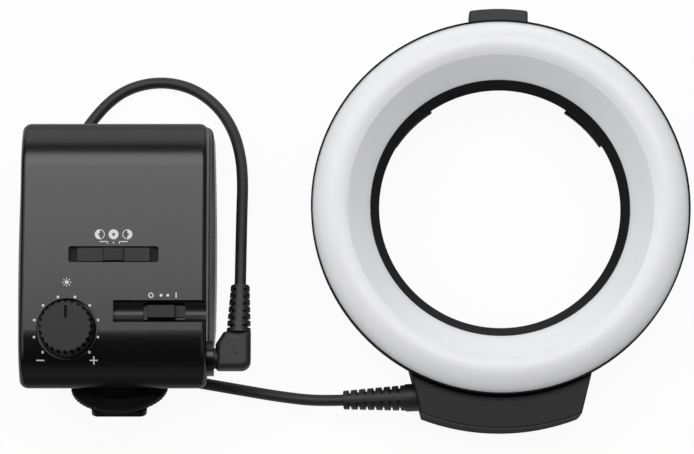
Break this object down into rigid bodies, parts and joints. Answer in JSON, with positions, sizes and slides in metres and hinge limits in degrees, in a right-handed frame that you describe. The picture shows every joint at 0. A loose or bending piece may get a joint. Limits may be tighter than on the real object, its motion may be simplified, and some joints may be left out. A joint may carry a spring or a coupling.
{
  "type": "ring flash",
  "caption": "Ring-shaped lamp for a camera lens, joined by a cord to a battery control unit with dial, two slide switches and a shoe foot with lock wheel.",
  "frame": {"origin": "centre of the adapter bore at the ring's rear face, which rests on the table", "axes": "+Z out of the diffuser, +Y towards the release button, -X towards the control unit"},
  "size_m": [0.2285, 0.1452, 0.046],
  "materials": {
    "housing_black": "fine matte",
    "unit_grey": "fine matte",
    "control_black": "satin",
    "cord_rubber": "satin",
    "diffuser_white": "translucent, satin",
    "board_green": "solder mask",
    "lamp_white": "matte",
    "reflector_white": "satin",
    "chip_black": "matte",
    "screw_steel": "plated",
    "spring_steel": "bright",
    "plated_contact": "plated",
    "brass": "machined",
    "cell_jacket": "gloss",
    "foot_metal": "black anodised"
  },
  "bodies": {
    "light_and_unit": {"ring_rear_housing": "housing_black", "inner_barrel": "housing_black", "diffuser": "diffuser_white", "led_ring_board": "board_green", "leds": "lamp_white", "reflector_tray": "reflector_white", "ring_screws": "screw_steel", "button_spring": "spring_steel", "driver_board": "board_green", "driver_components": "chip_black", "block_front_cover": "housing_black", "block_screws": "screw_steel", "ring_cable_boot": "cord_rubber", "cable_retainer": "screw_steel", "front_shell": "unit_grey", "rear_shell": "unit_grey", "shell_screws": "screw_steel", "battery_holder": "control_black", "battery_cells": "cell_jacket", "battery_contacts": "plated_contact", "battery_springs": "spring_steel", "main_board": "board_green", "main_board_screws": "screw_steel", "board_components": "chip_black", "brightness_pot": "plated_contact", "position_switch": "control_black", "power_switch": "control_black", "cord_socket": "control_black", "foot_bracket": "screw_steel", "foot_screws": "screw_steel", "shoe_foot": "foot_metal", "plug_body": "cord_rubber", "plug_tip": "plated_contact", "plug_strain_relief": "cord_rubber", "link_cord": "cord_rubber"},
    "release": {"release_button": "control_black", "release_yoke": "control_black"},
    "dial": {"brightness_dial": "control_black", "pot_shaft": "brass"},
    "position": {"position_slider": "control_black"},
    "power": {"power_slider": "control_black"},
    "door": {"battery_door": "unit_grey"},
    "washer": {"lock_washer": "foot_metal"},
    "wheel": {"lock_wheel": "control_black", "lock_insert": "brass"}
  },
  "joints": [
    {"name": "release_press", "type": "slide", "parent": "light_and_unit", "child": "release", "axis": [0, -1, 0], "range_m": [0, 0.002], "stiffness_N_per_m": 300, "springref_m": -0.005, "deforming": ["button_spring"]},
    {"name": "brightness_turn", "type": "hinge", "parent": "light_and_unit", "child": "dial", "pos_m": [-0.1455, -0.0442, 0.0377], "axis": [0, 0, 1], "range_deg": [-135, 135]},
    {"name": "position_slide", "type": "slide", "parent": "light_and_unit", "child": "position", "axis": [1, 0, 0], "range_m": [-0.0019, 0.0019]},
    {"name": "power_slide", "type": "slide", "parent": "light_and_unit", "child": "power", "axis": [1, 0, 0], "range_m": [0, 0.0021]},
    {"name": "door_slide", "type": "slide", "parent": "light_and_unit", "child": "door", "axis": [0, -1, 0], "range_m": [0, 0.005]},
    {"name": "washer_travel", "type": "slide", "parent": "light_and_unit", "child": "washer", "axis": [0, -0.788, -0.6157], "range_m": [0, 0.00075]},
    {"name": "wheel_turn", "type": "hinge", "parent": "washer", "child": "wheel", "pos_m": [-0.1291, -0.0574, 0.022], "axis": [0, -0.788, -0.6157], "range_deg": [0, 270]}
  ],
  "couplings": [
    {"joint": "washer_travel", "follows": "wheel_turn", "m_per_rad": 0.00015915}
  ]
}
